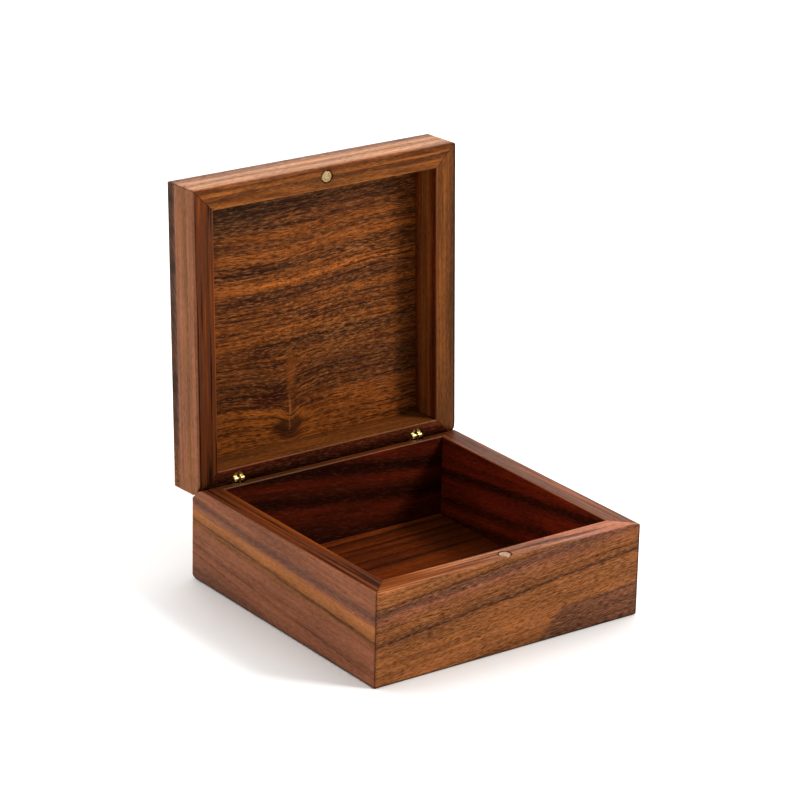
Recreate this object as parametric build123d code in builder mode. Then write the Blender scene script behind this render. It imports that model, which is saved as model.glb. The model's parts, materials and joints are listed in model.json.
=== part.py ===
import os
from math import cos, radians, sin

from build123d import *

# Square wooden box with a hinged lid, standing open as it is used.
# X runs along the front wall to the right, Y from front to back, Z up.
# The origin is the middle of the underside. Millimetres and degrees.

# Wood
box_width = 127.0
box_depth = 127.0
base_height = 39.2
wall = 9.5
floor_thickness = 4.4
floor_ledge = 4.0
lid_frame_height = 14.6
lid_panel_thickness = 3.8

# Edges of the base, as sanded
upright_round = 1.2
base_rim_round = 0.5
base_right_rim_round = 1.2
base_foot_round = 0.8
base_back_foot_round = 4.0
inner_rim_chamfer = 0.35

# Edges of the lid, as sanded
lid_rim_round = 0.5
lid_front_round = 1.0
lid_back_round = 2.0
lid_left_round = 1.0
lid_right_round = 3.5

# Room for the swing: a bevel along the back of the base's rim, a round along the lid's
back_bevel = 5.4
bevel_crest_round = 5.0
bevel_heel_round = 0.4
lid_hinge_round = 6.6

# Barrel hinges. The pivot lies a little above the base's rim, in the ears of the lid's barrel
hinge_from_side = 19.4
hinge_inset = 4.5
pivot_above_rim = 0.77
opening_angle = 92.4
closed_gap = 0.1
barrel_diameter = 6.0
barrel_length = 12.0
barrel_play = 0.1
barrel_recess = 0.7
barrel_tail_chamfer = 0.5
hole_mouth_chamfer = 0.3
ear_width = 2.3
ear_span = 5.2
ear_round = 0.5
base_pin_depth = 3.4
pin_diameter = 1.0
pin_length = 4.6
link_thickness = 1.0
link_width = 2.2
link_play = 0.05
slot_width = 1.3
slot_floor_gap = 0.3

# Magnets
magnet_inset = 4.4
magnet_diameter = 5.0
magnet_thickness = 2.5
magnet_recess = 0.15
magnet_play = 0.25
magnet_chamfer = 0.25

# Worked out from the sizes above
lid_height = lid_frame_height + lid_panel_thickness
hinge_offset = box_width / 2 - hinge_from_side
hinge_y = box_depth / 2 - hinge_inset
magnet_y = magnet_inset - box_depth / 2
hole_diameter = barrel_diameter + 2 * barrel_play
lid_pin_depth = pivot_above_rim - closed_gap
base_slot_depth = base_pin_depth + link_width / 2 + slot_floor_gap
lid_slot_depth = lid_pin_depth + link_width / 2 + slot_floor_gap
link_length = base_pin_depth + pivot_above_rim

# Pivot and lid, seen along X with the lid open. The lid's own frame has its rim at
# z = 0 and its back at +Y, as it lies closed on the base.
pivot = Vector(0, hinge_y, base_height + pivot_above_rim)
lid_up = Vector(0, sin(radians(opening_angle)), cos(radians(opening_angle)))
lid_forward = Vector(0, -cos(radians(opening_angle)), sin(radians(opening_angle)))
lid_origin = pivot + lid_forward * hinge_y - lid_up * lid_pin_depth
lid_place = Location(Plane(lid_origin, x_dir=(1, 0, 0), z_dir=lid_up))

# Corners of the sections across the box, each with its radius
base_side_corners = [
    (-box_depth / 2, 0, base_foot_round),
    (box_depth / 2, 0, base_back_foot_round),
    (box_depth / 2, base_height - back_bevel, bevel_heel_round),
    (box_depth / 2 - back_bevel, base_height, bevel_crest_round),
    (-box_depth / 2, base_height, base_rim_round),
]
base_front_corners = [
    (-box_width / 2, 0, base_foot_round),
    (box_width / 2, 0, base_foot_round),
    (box_width / 2, base_height, base_right_rim_round),
    (-box_width / 2, base_height, base_rim_round),
]
lid_side_corners = [
    (-box_depth / 2, 0, lid_rim_round),
    (box_depth / 2, 0, lid_hinge_round),
    (box_depth / 2, lid_height, lid_back_round),
    (-box_depth / 2, lid_height, lid_front_round),
]
lid_front_corners = [
    (-box_width / 2, 0, lid_rim_round),
    (box_width / 2, 0, lid_rim_round),
    (box_width / 2, lid_height, lid_right_round),
    (-box_width / 2, lid_height, lid_left_round),
]


def section(plane, corners):
    """Face on a plane, with its own radius at each corner."""
    with BuildSketch(plane) as face:
        with BuildLine():
            points = [(x, y) for x, y, radius in corners]
            FilletPolyline(*points, radius=[radius for x, y, radius in corners], close=True)
        make_face()
    return face.sketch


def outer_form(side_corners, front_corners, height):
    """Solid block that has the side, front and plan outlines of the base or the lid."""
    with BuildPart() as form:
        side_view = section(Plane.YZ.offset(-box_width / 2), side_corners)
        extrude(side_view, amount=box_width)
        front_view = section(Plane.XZ.offset(-box_depth / 2), front_corners)
        extrude(front_view, amount=box_depth, mode=Mode.INTERSECT)
        with BuildSketch(Plane.XY):
            RectangleRounded(box_width, box_depth, upright_round)
        extrude(amount=height, mode=Mode.INTERSECT)
    return form


def wall_plan(quarter):
    """Plan of one mitred wall: quarter 0 is the front, 1 the right, 2 the back, 3 the left."""
    half_run = (box_width if quarter % 2 == 0 else box_depth) / 2
    half_reach = (box_depth if quarter % 2 == 0 else box_width) / 2
    corners = [
        (-half_run - wall, -half_reach - wall),
        (half_run + wall, -half_reach - wall),
        (half_run - wall, wall - half_reach),
        (wall - half_run, wall - half_reach),
    ]
    for turn in range(quarter):
        corners = [(-y, x) for x, y in corners]
    return corners


def mitred_wall(frame, quarter, height):
    """One wall of a frame, between the two mitres."""
    with BuildPart() as piece:
        add(frame)
        with BuildSketch(Plane.XY):
            with BuildLine():
                Polyline(*wall_plan(quarter), close=True)
            make_face()
        extrude(amount=height, mode=Mode.INTERSECT)
    return piece


def drill(mouth_plane, places, diameter, depth):
    """Blind holes from a rim, each with a small chamfer at its mouth."""
    with BuildSketch(mouth_plane) as bores:
        with Locations(*places):
            Circle(diameter / 2)
    extrude(bores.sketch, amount=-depth, mode=Mode.SUBTRACT)
    with BuildSketch(mouth_plane) as mouths:
        with Locations(*places):
            Circle(diameter / 2 + hole_mouth_chamfer)
    extrude(mouths.sketch, amount=-hole_mouth_chamfer, taper=45, mode=Mode.SUBTRACT)


def barrel_body(x, rim_plane, corners):
    """Barrel in its hole. Its end has the shape of the wood round it, but lies deeper."""
    with BuildPart() as piece:
        with BuildSketch(rim_plane.offset(-barrel_length)):
            with Locations((x, hinge_y * rim_plane.y_dir.Y)):
                Circle(barrel_diameter / 2)
        extrude(amount=barrel_length)
        tail = piece.faces().sort_by(Axis(rim_plane.origin, rim_plane.z_dir))[0]
        chamfer(tail.edges(), barrel_tail_chamfer)
        side = Plane.YZ.offset(x - barrel_diameter)
        side.origin = side.origin - rim_plane.z_dir * barrel_recess
        extrude(section(side, corners), amount=2 * barrel_diameter, mode=Mode.INTERSECT)
    return piece


def slot_and_bore(x, z_low, z_high, pin_z):
    """Cuts the slot for the link across a barrel, and the bore for its pin."""
    with BuildSketch(Plane.YZ.offset(x)) as slot:
        with Locations((hinge_y, (z_low + z_high) / 2)):
            Rectangle(2 * barrel_diameter, z_high - z_low)
    extrude(slot.sketch, amount=slot_width / 2, both=True, mode=Mode.SUBTRACT)
    with BuildSketch(Plane.YZ.offset(x)) as bore:
        with Locations((hinge_y, pin_z)):
            Circle(pin_diameter / 2)
    extrude(bore.sketch, amount=pin_length / 2, both=True, mode=Mode.SUBTRACT)


def base_barrel(x):
    """Slotted barrel that holds the lower end of the link."""
    with BuildPart() as piece:
        add(barrel_body(x, base_rim, base_side_corners))
        slot_and_bore(x, base_height - base_slot_depth, base_height, base_height - base_pin_depth)
    return piece


def lid_barrel(x):
    """Slotted barrel with two rounded ears that stand out of its hole and hold the pivot."""
    with BuildPart() as ears:
        with BuildSketch(Plane.YZ.offset(x)):
            with Locations((hinge_y, lid_pin_depth)):
                Circle(ear_width / 2)
            with Locations((hinge_y, lid_pin_depth + lid_slot_depth / 2)):
                Rectangle(ear_width, lid_slot_depth)
        extrude(amount=ear_span / 2, both=True)
        sides = ears.faces().sort_by(Axis.X)
        fillet(sides[0].edges() + sides[-1].edges(), ear_round)
    with BuildPart() as piece:
        add(barrel_body(x, lid_rim, lid_side_corners))
        add(ears)
        slot_and_bore(x, -ear_width, lid_slot_depth, lid_pin_depth)
    return piece


def pivot_pin(x, z):
    """Pin along X, held in both ears of a barrel."""
    with BuildPart() as piece:
        with BuildSketch(Plane.YZ.offset(x)):
            with Locations((hinge_y, z)):
                Circle(pin_diameter / 2)
        extrude(amount=pin_length / 2, both=True)
    return piece


def link(x):
    """Flat link that stands in the base's barrel and carries the pivot, a hole at each end."""
    with BuildPart() as piece:
        with BuildSketch(Plane.YZ.offset(x)):
            with Locations((hinge_y, base_height + pivot_above_rim - link_length / 2)):
                SlotCenterToCenter(link_length, link_width, rotation=90)
            with Locations((hinge_y, base_height - base_pin_depth)):
                Circle(pin_diameter / 2, mode=Mode.SUBTRACT)
            with Locations((hinge_y, base_height + pivot_above_rim)):
                Circle(pin_diameter / 2 + link_play, mode=Mode.SUBTRACT)
        extrude(amount=link_thickness / 2, both=True)
    return piece


def magnet(z_low):
    """Disc magnet, its edges broken."""
    with BuildPart() as piece:
        with BuildSketch(Plane.XY.offset(z_low)):
            with Locations((0, magnet_y)):
                Circle(magnet_diameter / 2)
        extrude(amount=magnet_thickness)
        chamfer(piece.edges().filter_by(GeomType.CIRCLE), magnet_chamfer)
    return piece


# Base: a mitred frame with a floor board let into a ledge along its foot
base_rim = Plane.XY.offset(base_height)
base_form = outer_form(base_side_corners, base_front_corners, base_height)

with BuildPart() as base_frame:
    add(base_form)
    with BuildSketch(base_rim):
        Rectangle(box_width - 2 * wall, box_depth - 2 * wall)
    extrude(amount=-base_height, mode=Mode.SUBTRACT)
    with BuildSketch(base_rim):
        Rectangle(
            box_width - 2 * wall + 2 * inner_rim_chamfer,
            box_depth - 2 * wall + 2 * inner_rim_chamfer,
        )
    extrude(amount=-inner_rim_chamfer, taper=45, mode=Mode.SUBTRACT)
    with BuildSketch(Plane.XY):
        Rectangle(box_width - 2 * wall + 2 * floor_ledge, box_depth - 2 * wall + 2 * floor_ledge)
    extrude(amount=floor_thickness, mode=Mode.SUBTRACT)

with BuildPart() as base_floor:
    with BuildSketch(Plane.XY):
        Rectangle(box_width - 2 * wall + 2 * floor_ledge, box_depth - 2 * wall + 2 * floor_ledge)
    extrude(amount=floor_thickness)

magnet_hole_diameter = magnet_diameter + 2 * magnet_play
magnet_hole_depth = magnet_recess + magnet_thickness
hinge_places = [(-hinge_offset, hinge_y), (hinge_offset, hinge_y)]

with BuildPart() as base_front_wall:
    add(mitred_wall(base_frame, 0, base_height))
    drill(base_rim, [(0, magnet_y)], magnet_hole_diameter, magnet_hole_depth)

with BuildPart() as base_back_wall:
    add(mitred_wall(base_frame, 2, base_height))
    drill(base_rim, hinge_places, hole_diameter, barrel_length)

base_right_wall = mitred_wall(base_frame, 1, base_height)
base_left_wall = mitred_wall(base_frame, 3, base_height)

# Lid, in its own frame: a mitred frame with a panel glued over it
lid_rim = Plane.XY.rotated((180, 0, 0))
lid_form = outer_form(lid_side_corners, lid_front_corners, lid_height)

with BuildPart() as lid_frame:
    add(lid_form)
    with BuildSketch(Plane.XY.offset(lid_frame_height)):
        Rectangle(2 * box_width, 2 * box_depth)
    extrude(amount=lid_panel_thickness, mode=Mode.SUBTRACT)
    with BuildSketch(lid_rim):
        Rectangle(box_width - 2 * wall, box_depth - 2 * wall)
    extrude(amount=-lid_frame_height, mode=Mode.SUBTRACT)
    with BuildSketch(lid_rim):
        Rectangle(
            box_width - 2 * wall + 2 * inner_rim_chamfer,
            box_depth - 2 * wall + 2 * inner_rim_chamfer,
        )
    extrude(amount=-inner_rim_chamfer, taper=45, mode=Mode.SUBTRACT)

with BuildPart() as lid_top_panel:
    add(lid_form)
    with BuildSketch(Plane.XY):
        Rectangle(2 * box_width, 2 * box_depth)
    extrude(amount=lid_frame_height, mode=Mode.SUBTRACT)

# The lid's rim plane looks down, so its own y runs to the front
lid_hinge_places = [(x, -y) for x, y in hinge_places]

with BuildPart() as lid_front_wall:
    add(mitred_wall(lid_frame, 0, lid_frame_height))
    drill(lid_rim, [(0, -magnet_y)], magnet_hole_diameter, magnet_hole_depth)

with BuildPart() as lid_back_wall:
    add(mitred_wall(lid_frame, 2, lid_frame_height))
    drill(lid_rim, lid_hinge_places, hole_diameter, barrel_length)

lid_right_wall = mitred_wall(lid_frame, 1, lid_frame_height)
lid_left_wall = mitred_wall(lid_frame, 3, lid_frame_height)

base_pieces = {
    "base_front_wall": base_front_wall,
    "base_back_wall": base_back_wall,
    "base_left_wall": base_left_wall,
    "base_right_wall": base_right_wall,
    "base_floor": base_floor,
    "base_magnet": magnet(base_height - magnet_hole_depth),
}
lid_pieces = {
    "lid_front_wall": lid_front_wall,
    "lid_back_wall": lid_back_wall,
    "lid_left_wall": lid_left_wall,
    "lid_right_wall": lid_right_wall,
    "lid_top_panel": lid_top_panel,
    "lid_magnet": magnet(magnet_recess),
}
for side, x in (("left", -hinge_offset), ("right", hinge_offset)):
    base_pieces[f"{side}_hinge_base_barrel"] = base_barrel(x)
    base_pieces[f"{side}_hinge_base_pin"] = pivot_pin(x, base_height - base_pin_depth)
    base_pieces[f"{side}_hinge_link"] = link(x)
    lid_pieces[f"{side}_hinge_lid_barrel"] = lid_barrel(x)
    lid_pieces[f"{side}_hinge_lid_pin"] = pivot_pin(x, lid_pin_depth)

os.makedirs("parts", exist_ok=True)
for name, piece in base_pieces.items():
    piece.part.label = name
    export_step(piece.part, f"parts/{name}.step")
for name, piece in lid_pieces.items():
    piece.part = lid_place * piece.part
    piece.part.label = name
    export_step(piece.part, f"parts/{name}.step")
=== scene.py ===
import json
from math import radians, tau

import bpy
from mathutils import Euler, Matrix, Vector


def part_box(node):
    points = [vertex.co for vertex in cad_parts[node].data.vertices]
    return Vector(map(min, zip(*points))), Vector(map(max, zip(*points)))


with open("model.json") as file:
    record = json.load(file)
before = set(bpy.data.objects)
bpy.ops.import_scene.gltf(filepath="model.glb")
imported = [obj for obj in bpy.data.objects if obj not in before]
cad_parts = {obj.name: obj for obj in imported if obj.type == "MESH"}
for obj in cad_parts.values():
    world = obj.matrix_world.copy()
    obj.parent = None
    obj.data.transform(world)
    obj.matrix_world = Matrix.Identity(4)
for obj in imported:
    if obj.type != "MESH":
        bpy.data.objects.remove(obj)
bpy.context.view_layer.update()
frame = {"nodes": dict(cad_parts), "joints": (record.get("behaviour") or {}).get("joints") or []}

# An oiled walnut box, 127 mm square. Lengths are in millimetres unless a name ends in _m.
MM = 0.001

# Sizes of the box, read from the frame
front_low, front_high = (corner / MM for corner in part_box("base_front_wall"))
half = front_high.x
wall = front_high.y - front_low.y
inner = half - wall
base_rim = front_high.z
floor_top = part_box("base_floor")[1].z / MM
swing = frame["joints"][0]
pivot = Vector(swing["pos_m"]) / MM
opening = radians(swing["range_deg"][1])

# Sizes of the lid that its boxes don't give, because it leans
closed_gap = 0.1
lid_frame_height = 14.6

# The lid's own frame has its rim at z = 0 and its back at +y, as it lies closed
base_frame = Matrix.Identity(4)
lid_frame = (
    Matrix.Translation(pivot)
    @ Matrix.Rotation(-opening, 4, "X")
    @ Matrix.Translation(Vector((0, 0, base_rim + closed_gap)) - pivot)
)

# Directions in either frame, along and across the boards
to_right, to_left = (1, 0, 0), (-1, 0, 0)
to_back, to_front = (0, 1, 0), (0, -1, 0)
up, down = (0, 0, 1), (0, 0, -1)

# A stretch along the grain that reaches past both ends of any board
whole_board = (-90, 220)

# Oil in wood: a typical IOR, and a weak sheen, because the open pores break it up
oil_ior = 1.47
oil_specular_level = 0.14
oil_roughness = 0.4

# Tones of oiled black walnut, from the sanded arris to the open pores
tones = {
    "tan": "#BC8A5E",
    "honey": "#AA6A30",
    "golden": "#965C26",
    "brown": "#84501F",
    "dusky": "#734620",
    "rosy": "#8E5630",
    "olive": "#542807",
    "plum": "#6C4429",
    "mauve": "#5E4030",
    "grey": "#4F351C",
    "red": "#7C3013",
    "russet": "#672A10",
    "umber": "#45190A",
    "line": "#34170A",
    "pore": "#281106",
}


def linear(hex_colour):
    """sRGB hex to the linear colour that a shader takes."""
    values = [int(hex_colour[i : i + 2], 16) / 255 for i in (1, 3, 5)]
    return [v / 12.92 if v <= 0.04045 else ((v + 0.055) / 1.055) ** 2.4 for v in values] + [1]


def add_node(tree, kind, inputs=(), output=0, **settings):
    """Adds a node with its settings, links or sets its inputs by number or name, gives one output."""
    new = tree.nodes.new(kind)
    for name, value in settings.items():
        setattr(new, name, value)
    for key, value in inputs.items() if isinstance(inputs, dict) else enumerate(inputs):
        if isinstance(value, bpy.types.NodeSocket):
            tree.links.new(value, new.inputs[key])
        else:
            new.inputs[key].default_value = value
    return new.outputs[output]


def new_material(name, **sockets):
    """A material with one Principled shader, and the constant values of its sockets."""
    material = bpy.data.materials.new(name)
    material.use_nodes = True
    tree = material.node_tree
    shader = tree.nodes["Principled BSDF"]
    for socket, value in sockets.items():
        shader.inputs[socket.replace("_", " ")].default_value = value
    return material, tree, shader


def paint(material, *names):
    """Gives a material to CAD nodes, in every slot."""
    for name in names:
        for slot in frame["nodes"][name].material_slots:
            slot.material = material


def fibres(tree, place, sizes, detail=2.0, roughness=0.5):
    """Noise stretched along the grain. The sizes of its spots are along, across and into the board."""
    squeezed = add_node(
        tree, "ShaderNodeVectorMath", (place, [1 / size for size in sizes]), operation="MULTIPLY"
    )
    return add_node(
        tree,
        "ShaderNodeTexNoise",
        {"Vector": squeezed, "Scale": 1.0, "Detail": detail, "Roughness": roughness},
        output="Fac",
    )


class Board:
    """One board's grain: its place in the frame, and the pattern that runs through the wood."""

    def __init__(self, name, body_frame, corner, along, across, seed, warmth=(1.0, 1.0, 1.0)):
        # the warmth scales red, green and blue of each tone that is laid after it is set
        self.warmth = warmth
        self.material, self.tree, self.shader = new_material(
            name, IOR=oil_ior, Specular_IOR_Level=oil_specular_level
        )
        tree = self.tree
        objects_place = add_node(tree, "ShaderNodeTexCoord", output="Object")
        through = Vector(along).cross(Vector(across))
        turn = body_frame.to_3x3() @ Matrix((along, across, through)).transposed()
        # a: along the grain from the corner, b: across the face, c: into the wood
        self.place = add_node(
            tree,
            "ShaderNodeMapping",
            {
                "Vector": objects_place,
                "Location": (body_frame @ Vector(corner)) * MM,
                "Rotation": turn.to_euler(),
                "Scale": (MM, MM, MM),
            },
            vector_type="TEXTURE",
        )
        self.a, self.b, self.c = add_node(tree, "ShaderNodeSeparateXYZ", (self.place,)).node.outputs
        # the same point in the frame of the whole base or lid, for what follows its edges
        frame_place = add_node(
            tree,
            "ShaderNodeMapping",
            {
                "Vector": objects_place,
                "Location": body_frame.translation * MM,
                "Rotation": body_frame.to_euler(),
                "Scale": (MM, MM, MM),
            },
            vector_type="TEXTURE",
        )
        self.x, self.y, self.z = add_node(tree, "ShaderNodeSeparateXYZ", (frame_place,)).node.outputs
        # each board is cut from its own stretch of the tree
        self.stretch = (seed * 137.0, seed * 41.0, seed * 29.0)
        self.wood = add_node(tree, "ShaderNodeVectorMath", (self.place, self.stretch))

    def tone(self, name):
        """A tone of the wood, made warmer or darker as this board is."""
        return [v * w for v, w in zip(linear(tones[name]), self.warmth)] + [1]

    def near(self, a, b, reach_a, reach_b):
        """1 at a spot on the board, falling softly to 0 at its reach each way."""
        tree = self.tree
        offset = add_node(tree, "ShaderNodeVectorMath", (self.place, (a, b, 0.0)), operation="SUBTRACT")
        flat = add_node(
            tree, "ShaderNodeVectorMath", (offset, (1 / reach_a, 1 / reach_b, 0.0)), operation="MULTIPLY"
        )
        away = add_node(tree, "ShaderNodeVectorMath", (flat,), output="Value", operation="LENGTH")
        return add_node(
            tree, "ShaderNodeMapRange", (away, 0.0, 1.0, 1.0, 0.0), interpolation_type="SMOOTHSTEP"
        )

    def grain(self, slope, wander, tilt=0.0, wander_length=70.0, dips=()):
        """How far down the board a fibre lies, once its slope, wandering and dips are taken out."""
        tree = self.tree
        self.slope = slope
        wave_height, fray_height = 4 * wander, 1.4
        waves = fibres(tree, self.wood, (wander_length, 16.0, 16.0))
        fray = fibres(tree, self.wood, (14.0, 3.0, 3.0))
        level = add_node(tree, "ShaderNodeMath", (waves, wave_height, self.b), operation="MULTIPLY_ADD")
        level = add_node(tree, "ShaderNodeMath", (fray, fray_height, level), operation="MULTIPLY_ADD")
        mean_height = (wave_height + fray_height) / 2
        level = add_node(tree, "ShaderNodeMath", (level, mean_height), operation="SUBTRACT")
        level = add_node(tree, "ShaderNodeMath", (self.a, slope, level), operation="MULTIPLY_ADD")
        level = add_node(tree, "ShaderNodeMath", (self.c, tilt, level), operation="MULTIPLY_ADD")
        for a, b, reach_a, reach_b, drop in dips:
            spot = self.near(a, b, reach_a, reach_b)
            level = add_node(tree, "ShaderNodeMath", (spot, -drop, level), operation="MULTIPLY_ADD")
        self.level = level
        flow = add_node(tree, "ShaderNodeCombineXYZ", (self.a, level, self.c))
        self.flow = add_node(tree, "ShaderNodeVectorMath", (flow, self.stretch))

    def bands(self, *stops):
        """Broad bands of tone across the board, each given as a level and a tone."""
        low, high = stops[0][0], stops[-1][0]
        ratio = add_node(self.tree, "ShaderNodeMapRange", (self.level, low, high))
        self.colour = add_node(self.tree, "ShaderNodeValToRGB", (ratio,))
        elements = self.colour.node.color_ramp.elements
        while len(elements) < len(stops):
            elements.new(1.0)
        for element, (level, tone) in zip(elements, stops):
            element.position = (level - low) / (high - low)
            element.color = self.tone(tone)

    def tint(self, value, start, end, tone, amount, within=None):
        """Lays a tone over the wood, from none of it at one value to the whole amount at another."""
        tree = self.tree
        cover = add_node(
            tree, "ShaderNodeMapRange", (value, start, end, 0.0, amount), interpolation_type="SMOOTHSTEP"
        )
        if within:
            cover = add_node(tree, "ShaderNodeMath", (cover, within), operation="MULTIPLY")
        self.colour = add_node(
            tree, "ShaderNodeMix", {0: cover, 6: self.colour, 7: self.tone(tone)}, 2, data_type="RGBA"
        )

    def shade(self, value, start, end, dark, light):
        """Scales the wood's brightness, from dark at one value to light at another."""
        tree = self.tree
        factor = add_node(
            tree, "ShaderNodeMapRange", (value, start, end, dark, light), interpolation_type="SMOOTHSTEP"
        )
        self.colour = add_node(
            tree, "ShaderNodeVectorMath", {0: self.colour, "Scale": factor}, operation="SCALE"
        )

    def line(self, start, end, width, amount, tone="line", span=whole_board):
        """A growth line from one (a, b) to another, sharp on its lower side, soft on its upper side."""
        tree = self.tree
        fall = (end[1] - start[1]) / (end[0] - start[0])
        course = add_node(
            tree,
            "ShaderNodeMath",
            (self.a, fall + self.slope, start[1] - fall * start[0]),
            operation="MULTIPLY_ADD",
        )
        off = add_node(tree, "ShaderNodeMath", (self.level, course), operation="SUBTRACT")
        sharp = add_node(tree, "ShaderNodeMapRange", (off, 0.1 * width, 0.55 * width, 1.0, 0.0))
        first, last = span
        fade = 6
        begun = add_node(tree, "ShaderNodeMapRange", (self.a, first - fade, first + fade))
        going = add_node(tree, "ShaderNodeMapRange", (self.a, last + fade, last - fade))
        within = add_node(tree, "ShaderNodeMath", (begun, going), operation="MULTIPLY")
        within = add_node(tree, "ShaderNodeMath", (within, sharp), operation="MULTIPLY")
        self.tint(off, -1.8 * width, 0.0, tone, amount, within)

    def rings(self, spacing, amount, width=0.57):
        """Growth rings: each darkens slowly and ends sharply, and some are stronger than others."""
        tree = self.tree
        # where in one turn a ring is darkest; the width is a share of the turn too
        darkest = 0.92
        uneven = fibres(tree, self.flow, (90.0, 3 * spacing, 3 * spacing))
        turns = add_node(tree, "ShaderNodeMath", (self.level, 1 / spacing), operation="MULTIPLY")
        turns = add_node(tree, "ShaderNodeMath", (uneven, 3.0, turns), operation="MULTIPLY_ADD")
        turn = add_node(tree, "ShaderNodeMath", (turns,), operation="FRACT")
        end = add_node(tree, "ShaderNodeMapRange", (turn, 0.9, 1.0, 1.0, 0.0))
        strong = fibres(tree, self.flow, (60.0, 2 * spacing, 2 * spacing))
        strong = add_node(tree, "ShaderNodeMapRange", (strong, 0.38, 0.62))
        within = add_node(tree, "ShaderNodeMath", (end, strong), operation="MULTIPLY")
        self.tint(turn, darkest - width, darkest, "line", amount, within)

    def texture(self, streak=1.0, pore=1.0, mottle=1.0):
        """Fine growth lines, mottling and open pores, over the broad bands."""
        tree = self.tree
        line_spacing = 1.2
        # pores are 0.2 mm wide in walnut, drawn 0.35 mm wide so that they show
        pore_width, pore_length = 0.35, 2.6
        lines = fibres(
            tree, self.flow, (60.0, line_spacing, line_spacing), detail=4.0, roughness=0.65
        )
        self.shade(lines, 0.28, 0.72, 1 - 0.32 * streak, 1 + 0.28 * streak)
        patches = fibres(tree, self.wood, (30.0, 7.0, 7.0))
        self.shade(patches, 0.25, 0.75, 1 - 0.16 * mottle, 1 + 0.16 * mottle)
        self.pores = fibres(tree, self.flow, (pore_length, pore_width, pore_width), detail=1.0)
        self.tint(self.pores, 0.51, 0.68, "pore", 0.45 * pore)
        self.tint(self.pores, 0.46, 0.32, "tan", 0.26 * pore)

    def streaked_rim(self, dark, light):
        """Long streaks on the rim alone, which took up more oil and is more golden than the faces."""
        self.warmth = (1.15, 0.92, 0.6)
        streaks = fibres(self.tree, self.wood, (70.0, 8.0, 1.4), detail=3.0)
        rim = add_node(self.tree, "ShaderNodeMapRange", (self.c, 0.4, 1.2))
        self.tint(streaks, 0.9, 0.35, "olive", 0.95, rim)
        self.tint(streaks, 0.5, 0.64, "pore", dark, rim)
        self.tint(streaks, 0.5, 0.34, "golden", light, rim)

    def end_grain(self, within):
        """End grain of the lid's panel: slanting growth lines, and pores on end that soak up the oil."""
        tree = self.tree
        lean = 0.6
        slant = add_node(tree, "ShaderNodeMath", (self.y, lean, self.z), operation="MULTIPLY_ADD")
        slanted = add_node(tree, "ShaderNodeCombineXYZ", (slant,))
        growth = fibres(tree, slanted, (1.3, 1.0, 1.0), detail=1.0)
        broad = fibres(tree, add_node(tree, "ShaderNodeCombineXYZ", (self.y,)), (12.0, 1.0, 1.0))
        # it is paler toward the hinges
        fading = add_node(tree, "ShaderNodeMapRange", (self.y, half - 30, half - 10, 1.0, 0.3))
        within = add_node(tree, "ShaderNodeMath", (within, fading), operation="MULTIPLY")
        # the mauve is as strong all along the side, because it is whole from the front edge on
        self.tint(self.y, -2 * half, -half, "mauve", 0.85, within)
        self.tint(growth, 0.45, 0.65, "pore", 0.6, within)
        self.tint(broad, 0.45, 0.65, "pore", 0.6, within)

    def edges(self, rim, arris):
        """The glue line in the mitres and a lighter strip on the arris round the opening."""
        tree = self.tree
        out_x = add_node(tree, "ShaderNodeMath", (self.x,), operation="ABSOLUTE")
        out_y = add_node(tree, "ShaderNodeMath", (self.y,), operation="ABSOLUTE")
        seam = add_node(tree, "ShaderNodeMath", (out_x, out_y), operation="SUBTRACT")
        seam = add_node(tree, "ShaderNodeMath", (seam,), operation="ABSOLUTE")
        # how far from the mitre the glue line ends, and where it is darkest
        self.tint(seam, 0.45, 0.1, "line", 0.6)
        # the arris is a narrow strip, just outside the opening and at the height of the rim
        reach = add_node(tree, "ShaderNodeMath", (out_x, out_y), operation="MAXIMUM")
        beside = add_node(tree, "ShaderNodeMapRange", (reach, inner + 0.3, inner + 0.55, 1.0, 0.0))
        away = add_node(tree, "ShaderNodeMath", (self.z, rim), operation="SUBTRACT")
        away = add_node(tree, "ShaderNodeMath", (away,), operation="ABSOLUTE")
        self.tint(away, 0.5, 0.3, "tan", arris, beside)

    def painted_foot_shade(self):
        """Painted shade along the bottom edge on which the base stands: the dark line where it meets the
        table.
        """
        self.tint(self.z, 1.1, 0.4, "pore", 0.75)

    def finish(self):
        """Links the colour, the sheen and the relief of the pores to the shader."""
        tree, shader = self.tree, self.shader
        tree.links.new(self.colour, shader.inputs["Base Color"])
        # the sheen is a little uneven, and the pores are duller than the wood between them
        smooth, rough = oil_roughness - 0.06, oil_roughness + 0.06
        pore_depth = 0.1
        uneven = fibres(tree, self.wood, (22.0, 3.0, 3.0), detail=3.0)
        gloss = add_node(tree, "ShaderNodeMapRange", (uneven, 0.3, 0.7, smooth, rough))
        dull = add_node(tree, "ShaderNodeMapRange", (self.pores, 0.5, 0.75, 0.0, 0.2))
        gloss = add_node(tree, "ShaderNodeMath", (gloss, dull))
        tree.links.new(gloss, shader.inputs["Roughness"])
        height = add_node(tree, "ShaderNodeMath", (self.pores, -1.0), operation="MULTIPLY")
        relief = add_node(
            tree, "ShaderNodeBump", {"Strength": 0.35, "Distance": pore_depth * MM, "Height": height}
        )
        tree.links.new(relief, shader.inputs["Normal"])
        return self.material


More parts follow.
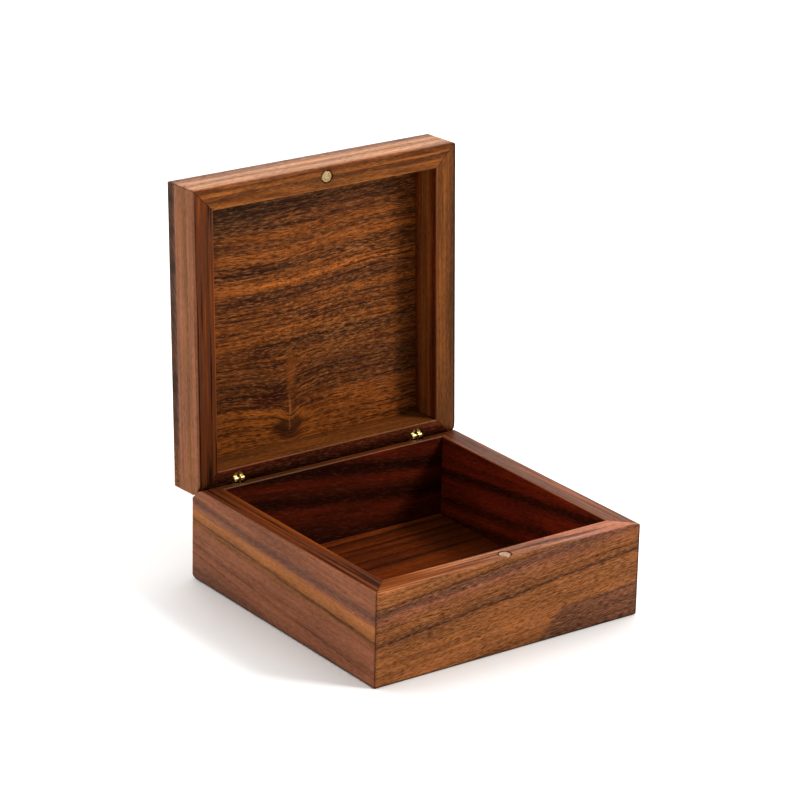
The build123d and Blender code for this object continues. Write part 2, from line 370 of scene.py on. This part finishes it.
def base_front_board():
    """Walnut, sanded and oiled: golden, with slanted dark growth lines and a plum corner."""
    corner = (-half, -half, base_rim)
    # the strong blue of this warmth is partly painted sheen: the pale haze of the white table reflected
    # in the outer face
    board = Board("oiled_walnut_base_front", base_frame, corner, to_right, down, 1, (0.99, 1.07, 1.55))
    board.grain(slope=0.09, tilt=0.4, wander=0.5)
    board.bands(
        (0, "honey"), (5, "golden"), (8, "golden"), (9.5, "plum"), (12, "rosy"), (17, "golden"),
        (20, "brown"), (22.4, "brown"), (24, "golden"), (32, "golden"), (38, "honey"), (42, "golden"),
        (50, "brown"),
    )
    board.line((0, 22.2), (127, 10.8), 0.95, 0.75)
    board.line((0, 16.6), (127, 7.6), 0.5, 0.55)
    board.line((0, 7.6), (80, 1.0), 0.8, 0.6, span=(-9, 84))
    board.line((60, 10.4), (127, 5.6), 0.5, 0.35, span=(70, 220))
    # the plum corner: below a growth line, and to the right of a slanted one
    tree = board.tree
    under = add_node(tree, "ShaderNodeMath", (board.a, -0.032, -32.0), operation="MULTIPLY_ADD")
    under = add_node(tree, "ShaderNodeMath", (under, board.level))
    aside = add_node(tree, "ShaderNodeMath", (board.b, 0.23, -27.5), operation="MULTIPLY_ADD")
    aside = add_node(tree, "ShaderNodeMath", (board.a, 0.24, aside), operation="MULTIPLY_ADD")
    both = add_node(tree, "ShaderNodeMath", (under, aside), operation="MINIMUM")
    board.tint(both, -0.5, 0.7, "plum", 0.75)
    board.texture(pore=1.3)
    # a small dark fleck with a tail
    board.tint(board.near(31.2, 15.6, 2.0, 1.1), 0.1, 0.9, "pore", 0.7)
    board.tint(board.near(32.0, 17.4, 0.9, 2.6), 0.1, 0.9, "pore", 0.4)
    # the rim turns from a deep orange at its left to a pale rose at its right
    rim = add_node(tree, "ShaderNodeMapRange", (board.c, 0.3, 0.8))
    board.warmth = (0.8, 0.6, 0.14)
    board.tint(board.a, 100, 30, "honey", 0.85, rim)
    board.tint(board.a, 75, 20, "olive", 0.35, rim)
    board.warmth = (1.5, 1.05, 1.1)
    board.tint(board.a, 55, 110, "tan", 0.3, rim)
    board.warmth = (1.1, 1.0, 1.0)
    streaks = fibres(tree, board.wood, (50.0, 8.0, 1.3), detail=3.0)
    board.tint(streaks, 0.5, 0.64, "umber", 0.9, rim)
    board.tint(streaks, 0.46, 0.34, "tan", 0.5, rim)
    board.edges(base_rim, arris=0.35)
    # the arris at the right end is dark: a painted dark reflection along the silhouette
    board.tint(board.a, 2 * half - 0.9, 2 * half - 0.2, "pore", 0.6)
    board.painted_foot_shade()
    return board.finish()


def base_left_board():
    """Walnut, sanded and oiled: rosy brown, with a soft grey streak over a honey band."""
    corner = (-half, half, base_rim)
    # the strong blue of this warmth is partly painted sheen: the pale haze of the white table reflected
    # in the outer face
    board = Board("oiled_walnut_base_left", base_frame, corner, to_front, down, 2, (1.12, 1.26, 1.9))
    board.grain(slope=-0.05, tilt=0.4, wander=0.4)
    board.bands(
        (-6, "rosy"), (3, "rosy"), (5.0, "plum"), (7, "rosy"), (9.5, "honey"), (12.5, "golden"),
        (14, "brown"), (18, "rosy"), (30, "rosy"), (38, "plum"),
    )
    board.line((0, 8.8), (127, 10.8), 2.0, 0.3, "mauve")
    board.line((0, 13.3), (100, 19.3), 0.8, 0.5)
    board.line((70, 18.4), (127, 20.2), 0.7, 0.4, span=(76, 118))
    board.line((0, 24.3), (90, 32.2), 0.7, 0.35)
    board.line((0, 28.3), (40, 32.5), 0.7, 0.4, span=(-9, 38))
    board.line((70, 31), (127, 33), 0.7, 0.3, span=(80, 220))
    board.texture(streak=0.6, pore=0.5, mottle=0.6)
    # small chips near the front corner show bare wood
    board.tint(board.near(112.6, 12.9, 1.0, 0.8), 0.2, 0.8, "tan", 0.6)
    board.tint(board.near(118.3, 15.8, 0.8, 0.7), 0.2, 0.8, "tan", 0.5)
    board.streaked_rim(dark=0.95, light=0.6)
    board.edges(base_rim, arris=0.25)
    board.painted_foot_shade()
    return board.finish()


def base_right_board():
    """Walnut, sanded and oiled: plum on its rim, with wide dark bands on its inner face."""
    corner = (half, -half, base_rim)
    plum_warmth = (1.75, 1.4, 1.55)
    board = Board("oiled_walnut_base_right", base_frame, corner, to_back, down, 3, plum_warmth)
    board.grain(slope=-0.12, tilt=0.25, wander=0.7)
    # the inner face shows levels from -13 at its front to 38 at its back
    board.bands(
        (-14, "red"), (-9, "russet"), (-4, "red"), (-1, "red"), (1.0, "red"), (3, "umber"),
        (5.0, "umber"), (8, "red"), (13, "red"), (16, "umber"), (20, "red"), (24, "umber"),
        (38, "russet"),
    )
    # only the inner face keeps the dark red; the rest of the board is laid over with dusky
    board.warmth = (0.95, 1.0, 1.1)
    board.tint(board.c, wall - 0.3, wall - 0.8, "dusky", 0.85)
    board.texture(streak=0.8, pore=0.7, mottle=1.6)
    rim = add_node(board.tree, "ShaderNodeMapRange", (board.b, 0.9, 0.3))
    streaks = fibres(board.tree, board.wood, (50.0, 8.0, 1.4), detail=3.0)
    board.warmth = plum_warmth
    board.tint(board.b, 0.9, 0.4, "grey", 0.92)
    board.tint(streaks, 0.47, 0.66, "rosy", 0.5, rim)
    board.tint(streaks, 0.45, 0.3, "umber", 0.6, rim)
    board.edges(base_rim, arris=0.3)
    # the outer arris is dark: a painted dark reflection along the silhouette
    below = add_node(board.tree, "ShaderNodeMapRange", (board.b, 2.6, 1.6))
    board.tint(board.c, 1.6, 0.7, "pore", 0.75, below)
    board.painted_foot_shade()
    return board.finish()


def base_back_board():
    """Walnut, sanded and oiled: dark reddish bands inside that fall from left to right."""
    corner = (half, half, base_rim)
    board = Board("oiled_walnut_base_back", base_frame, corner, to_left, down, 4, (0.7, 0.6, 0.6))
    board.grain(slope=0.125, tilt=0.2, wander=1.0)
    # the inner face shows levels from 1 at its right end to 51 at its left end
    board.bands(
        (2, "red"), (8, "red"), (12, "umber"), (15, "umber"), (18, "red"), (22, "russet"), (25, "umber"),
        (27, "umber"), (30, "red"), (36, "russet"), (42, "umber"), (56, "russet"),
    )
    # only the inner face keeps the dark red; the rest of the board is laid over with dusky
    board.warmth = (1.0, 1.0, 1.0)
    board.tint(board.c, wall - 0.3, wall - 0.8, "dusky", 0.8)
    board.texture(streak=0.8, pore=0.4, mottle=1.4)
    board.edges(base_rim, arris=0.3)
    board.painted_foot_shade()
    return board.finish()


def base_floor_board():
    """Walnut, sanded and oiled: reddish, with dark stripes across the box."""
    corner = (-inner, inner, floor_top)
    board = Board("oiled_walnut_floor", base_frame, corner, to_right, to_front, 5, (0.84, 0.52, 0.32))
    board.grain(slope=0.03, wander=0.8)
    board.bands(
        (0, "brown"), (5, "golden"), (8, "dusky"), (11, "brown"), (20, "dusky"), (24, "brown"),
        (30, "dusky"), (40, "brown"), (60, "dusky"), (80, "brown"), (108, "dusky"),
    )
    board.rings(5.0, 0.4)
    for level, width in ((7, 0.9), (14.8, 1.2), (19.7, 0.9), (26.8, 1.0), (33, 1.2)):
        board.line((0, level), (108, level - 3), width, 0.75)
    board.texture(pore=0.6)
    # a painted highlight along the glue joint by the back wall
    board.tint(board.b, 0.7, 0.3, "tan", 0.5)
    return board.finish()


def lid_front_board():
    """Walnut, sanded and oiled: straight grained, orange brown on its rim and pale on its outer face."""
    board = Board("oiled_walnut_lid_front", lid_frame, (half, -half, 0), to_left, up, 6)
    board.grain(slope=0.01, tilt=-1.0, wander=0.7)
    # levels above 0 are the outer face, and those below are the rim
    board.bands(
        (-10, "honey"), (-7, "golden"), (-4.5, "brown"), (-3, "honey"), (-1, "golden"), (0.5, "rosy"),
        (5, "tan"), (8, "rosy"), (11, "tan"), (14, "rosy"),
    )
    board.line((0, -3.6), (127, -4.4), 1.0, 0.6)
    board.line((0, -1.0), (127, -1.6), 0.8, 0.5)
    board.texture(streak=1.1)
    rim = add_node(board.tree, "ShaderNodeMapRange", (board.c, 0.3, 0.8))
    patches = fibres(board.tree, board.wood, (25.0, 8.0, 2.0), detail=3.0)
    board.tint(patches, 0.6, 0.3, "olive", 0.7, rim)
    board.edges(0, arris=0.3)
    return board.finish()


def lid_back_board():
    """Walnut, sanded and oiled: dark and reddish on its rim, golden inside."""
    board = Board("oiled_walnut_lid_back", lid_frame, (-half, half, 0), to_right, up, 7)
    board.grain(slope=0.01, tilt=1.0, wander=0.8)
    board.bands((0, "umber"), (5, "umber"), (9, "russet"), (12, "golden"), (16, "golden"), (24, "brown"))
    board.rings(2.6, 0.5)
    board.texture(streak=1.3)
    board.edges(0, arris=0.3)
    return board.finish()


def lid_left_board():
    """Walnut, sanded and oiled: straight fine streaks, rosy outside and olive on the rim."""
    corner = (-half, -half, 0)
    # the strong blue of this warmth is partly painted sheen: the pale haze of the white table reflected
    # in the outer face
    board = Board("oiled_walnut_lid_left", lid_frame, corner, to_back, up, 8, (1.25, 1.5, 2.2))
    board.grain(slope=0.005, tilt=1.0, wander=0.4, wander_length=90.0)
    board.bands(
        (-6, "rosy"), (4, "rosy"), (6, "brown"), (8, "rosy"), (14, "rosy"), (17, "brown"), (24, "rosy")
    )
    board.texture(streak=0.8, pore=0.5, mottle=0.6)
    # the tone of the panel's dark end grain runs on over the glue line, and ends softly
    overrun, soft = 1.4, 0.3
    edge = lid_frame_height - overrun
    skin = add_node(board.tree, "ShaderNodeMapRange", (board.c, 0.7, 0.3))
    beside = add_node(board.tree, "ShaderNodeMapRange", (board.b, edge, edge + soft))
    board.end_grain(add_node(board.tree, "ShaderNodeMath", (skin, beside), operation="MULTIPLY"))
    board.streaked_rim(dark=1.0, light=0.7)
    board.edges(0, arris=0.25)
    return board.finish()


def lid_right_board():
    """Walnut, sanded and oiled: reddish inside, and darker toward its outer side."""
    board = Board("oiled_walnut_lid_right", lid_frame, (half, half, 0), to_front, up, 9)
    board.grain(slope=0.005, tilt=1.0, wander=0.5, wander_length=90.0)
    board.bands(
        (0, "dusky"), (2, "dusky"), (6, "brown"), (9, "brown"), (12, "red"), (15, "honey"),
        (20, "honey"), (24, "red"),
    )
    # the outer face is plainer
    board.tint(board.c, 0.7, 0.3, "dusky", 0.7)
    board.rings(2.2, 0.4)
    board.texture(pore=0.6)
    board.edges(0, arris=0.3)
    # the outer arris is dark: a painted dark reflection along the silhouette
    below = add_node(board.tree, "ShaderNodeMapRange", (board.b, 1.2, 0.6))
    board.tint(board.c, 1.3, 0.4, "pore", 0.7, below)
    return board.finish()


def lid_panel_board():
    """Walnut, sanded and oiled: finely striped, with curly figure and a knot low on its inner face."""
    corner = (-inner, -inner, lid_frame_height)
    board = Board("oiled_walnut_lid_panel", lid_frame, corner, to_right, to_back, 10, (1.08, 0.98, 0.75))
    # the fibres sag in the left half, and run down to the knot
    knot_a = 44.7
    board.grain(
        slope=0.0,
        wander=0.7,
        wander_length=45.0,
        dips=((34, 42, 56, 60, 3.0), (knot_a - 4, 88, 26, 26, 3.0), (knot_a, 99, 8, 13, 4.0)),
    )
    board.bands(
        (0, "dusky"), (15, "dusky"), (17, "brown"), (22, "dusky"), (25, "golden"), (28, "brown"),
        (31, "dusky"), (35, "golden"), (36.5, "honey"), (38, "golden"), (40, "dusky"), (45, "dusky"),
        (47.5, "golden"), (50, "dusky"), (55, "brown"), (58, "golden"), (62, "brown"), (65, "dusky"),
        (70, "brown"), (76, "dusky"), (88, "dusky"), (92.5, "golden"), (108, "golden"),
    )
    board.rings(1.9, 0.95, width=0.5)
    # growth lines down the panel; those that stop short end left of the middle
    board.line((0, 15), (108, 14), 0.6, 0.5)
    board.line((0, 31), (60, 31), 0.8, 0.7, span=(-9, 40))
    board.line((0, 42.5), (60, 42), 0.7, 0.6, span=(-9, 45))
    board.line((0, 56), (108, 55.5), 0.7, 0.6)
    board.line((0, 65), (108, 64), 0.7, 0.55)
    board.line((0, 72), (60, 72), 0.8, 0.6, span=(-9, 46))
    board.line((0, 80), (60, 79), 1.0, 0.7, span=(-9, 42))
    board.line((0, 84.5), (60, 84), 1.0, 0.7, span=(-9, 42))
    board.line((0, 89.5), (60, 90), 1.0, 0.7, span=(-9, 42))
    tree = board.tree
    # the wood is darker at its top left, partly grain and partly painted shade beside the front and left
    # walls, and darker in short bands on the left, and beside the knot
    board.tint(board.near(18, 9, 36, 12), 0.0, 1.0, "grey", 0.8)
    for a, b, reach_a, reach_b in ((25, 32, 14, 4), (25, 45, 18, 5), (29, 69, 14, 4)):
        board.tint(board.near(a, b, reach_a, reach_b), 0.0, 1.0, "umber", 0.5)
    board.tint(board.near(knot_a - 9, 88, 18, 8), 0.0, 1.0, "umber", 0.85)
    board.tint(board.near(knot_a + 9, 93, 15, 4), 0.0, 1.0, "umber", 0.6)
    # the outer face is plainer
    board.tint(board.c, 2.8, 3.5, "dusky", 0.4)
    board.texture(streak=1.5, pore=1.5)
    # curly figure: fine ripples across the grain, strongest right of the middle
    ripples = fibres(tree, board.wood, (1.4, 1.0, 3.0), detail=3.0, roughness=0.6)
    ripples = add_node(tree, "ShaderNodeMath", (ripples, 0.5), operation="SUBTRACT")
    curl = add_node(tree, "ShaderNodeMath", (ripples, board.near(64, 58, 60, 60)), operation="MULTIPLY")
    board.shade(curl, -0.13, 0.13, 0.68, 1.3)
    # painted highlights: the curls are pale tan at two spots, laid over the pores
    for a, b, reach_a, reach_b in ((77, 32, 20, 6), (69, 67, 24, 12)):
        board.tint(board.pores, 0.55, 0.4, "tan", 0.3, board.near(a, b, reach_a, reach_b))
    # the knot: a dark heart in two halves, and over it a pale upright feather
    board.tint(board.near(knot_a - 4, 101.5, 8, 5), 0.0, 0.8, "line", 0.8)
    board.tint(board.near(knot_a + 3, 100.5, 5, 5), 0.0, 0.8, "line", 0.7)
    board.tint(board.near(knot_a, 105, 9, 4), 0.0, 0.8, "line", 0.7)
    feather = fibres(tree, board.wood, (0.8, 7.0, 7.0))
    board.tint(feather, 0.46, 0.62, "tan", 0.5, board.near(knot_a, 96, 2.6, 14))
    board.tint(board.near(knot_a + 0.5, 79, 4, 16), 0.0, 1.0, "golden", 0.5)
    # the panel's left and right sides are cut across the fibres
    out_x = add_node(tree, "ShaderNodeMath", (board.x,), operation="ABSOLUTE")
    board.end_grain(add_node(tree, "ShaderNodeMapRange", (out_x, half - 0.9, half - 0.4)))
    return board.finish()


def blotched_metal(name, size, pale, dark, cover, roughness, detail=3.0, distortion=0.0):
    """A metal whose tone and roughness vary in soft blotches, and its place, for finer marks.

    The cover says at which noise values the dark tone starts and is whole, and how much is laid there.
    """
    material, tree, shader = new_material(name, Metallic=1.0)
    place = add_node(tree, "ShaderNodeTexCoord", output="Object")
    blotches = add_node(
        tree,
        "ShaderNodeTexNoise",
        {"Vector": place, "Scale": 1 / (size * MM), "Detail": detail, "Distortion": distortion},
        "Fac",
    )
    share = add_node(tree, "ShaderNodeMapRange", (blotches, *cover))
    colour = add_node(
        tree, "ShaderNodeMix", {0: share, 6: linear(pale), 7: linear(dark)}, 2, data_type="RGBA"
    )
    tree.links.new(colour, shader.inputs["Base Color"])
    gloss = add_node(tree, "ShaderNodeMapRange", (blotches, 0.3, 0.7, *roughness))
    tree.links.new(gloss, shader.inputs["Roughness"])
    return material, tree, shader, place


def bright_brass():
    """Turned brass rod, left bright: cream gold, softly shining, with fine rings and darker marks."""
    material, tree, shader, place = blotched_metal(
        "turned_brass", 1.2, "#EFDCA6", "#A88646", cover=(0.5, 0.75, 0.0, 0.6), roughness=(0.34, 0.5)
    )
    # turning marks are drawn 0.25 mm apart, as coarse as they need to show
    mark_spacing, mark_depth = 0.25, 0.05
    rings = add_node(
        tree,
        "ShaderNodeTexWave",
        {"Vector": place, "Scale": 1 / (mark_spacing * MM * tau), "Distortion": 0.4},
        "Fac",
        bands_direction="Z",
    )
    relief = add_node(
        tree, "ShaderNodeBump", {"Strength": 0.1, "Distance": mark_depth * MM, "Height": rings}
    )
    tree.links.new(relief, shader.inputs["Normal"])
    return material


def painted_shade_brass():
    """Pressed brass of the link and pins, painted a dark olive that stands for the shade in the slot
    between the lobes.
    """
    return blotched_metal(
        "brass_with_painted_shade", 0.9, "#7A6228", "#4A3A1A", cover=(0.4, 0.65), roughness=(0.4, 0.6)
    )[0]


def nickel(name, pale, dark):
    """Nickel plate on a pressed disc magnet: warm and dull, with a faint swirl."""
    return blotched_metal(
        name, 1.4, pale, dark, cover=(0.35, 0.65), roughness=(0.22, 0.36), detail=2.0, distortion=2.5
    )[0]


def add_table():
    """Plain pale table, much larger than the view, of matt white paper that throws soft light back."""
    reach_m = 6.0
    for thing in bpy.context.selected_objects:
        thing.select_set(False)
    bpy.ops.mesh.primitive_plane_add(size=2 * reach_m, location=(0, 0, 0))
    table = bpy.context.active_object
    table.name = "table"
    paper = new_material("matt_white_paper", Roughness=0.9, Base_Color=linear("#F7F7F6"))[0]
    table.data.materials.append(paper)


def add_room():
    """A white room that lights the box softly, brightest behind it, as a lit sweep is."""
    bright_side = Vector((0.35, 0.91, 0.22)).normalized()
    dim, bright = 0.31, 2.0
    world = bpy.data.worlds.new("white_room")
    bpy.context.scene.world = world
    world.use_nodes = True
    tree = world.node_tree
    background = tree.nodes["Background"]
    background.inputs["Color"].default_value = (1.0, 1.0, 1.0, 1.0)
    view = add_node(tree, "ShaderNodeTexCoord", output="Generated")
    toward = add_node(
        tree, "ShaderNodeVectorMath", (view, bright_side), "Value", operation="DOT_PRODUCT"
    )
    glow = add_node(
        tree, "ShaderNodeMapRange", (toward, -0.5, 0.7, dim, bright), interpolation_type="SMOOTHSTEP"
    )
    tree.links.new(glow, background.inputs["Strength"])


def add_lamp():
    """A soft lamp, high on the right in front of the box."""
    direction = Vector((0.485, -0.588, 0.646))
    distance_m = 1.5
    size_m = 0.3
    watts = 12.2
    lamp = bpy.data.lights.new("softbox", "AREA")
    lamp.shape = "SQUARE"
    lamp.size = size_m
    lamp.energy = watts
    softbox = bpy.data.objects.new("softbox", lamp)
    softbox.location = direction * distance_m
    softbox.rotation_euler = direction.to_track_quat("Z", "Y").to_euler()
    bpy.context.collection.objects.link(softbox)


def add_camera():
    """Long lens from the left front, a little above the box, as the photo was taken."""
    focal_length, sensor_width = 159.92, 36.0
    place_m = (-0.77586, -1.04417, 0.57272)
    turn_degrees = (69.373, -1.270, -35.853)
    lens = bpy.data.cameras.new("camera")
    lens.lens = focal_length
    lens.sensor_width = sensor_width
    camera = bpy.data.objects.new("camera", lens)
    camera.location = place_m
    camera.rotation_euler = Euler([radians(angle) for angle in turn_degrees])
    bpy.context.collection.objects.link(camera)
    bpy.context.scene.camera = camera


paint(base_front_board(), "base_front_wall")
paint(base_left_board(), "base_left_wall")
paint(base_right_board(), "base_right_wall")
paint(base_back_board(), "base_back_wall")
paint(base_floor_board(), "base_floor")
paint(lid_front_board(), "lid_front_wall")
paint(lid_back_board(), "lid_back_wall")
paint(lid_left_board(), "lid_left_wall")
paint(lid_right_board(), "lid_right_wall")
paint(lid_panel_board(), "lid_top_panel")
paint(bright_brass(), *(name for name in frame["nodes"] if "barrel" in name))
paint(painted_shade_brass(), *(name for name in frame["nodes"] if "hinge" in name and "barrel" not in name))
# the base's magnet is browner and darker than the lid's
paint(nickel("nickel_plate", "#B09A78", "#867052"), "lid_magnet")
paint(nickel("browner_nickel_plate", "#A38466", "#7A5E45"), "base_magnet")

add_table()
add_room()
add_lamp()
add_camera()

# Standard keeps the table white, and the low gamma gives the deep shadows of a studio print
bpy.context.scene.view_settings.view_transform = "Standard"
bpy.context.scene.view_settings.gamma = 0.8
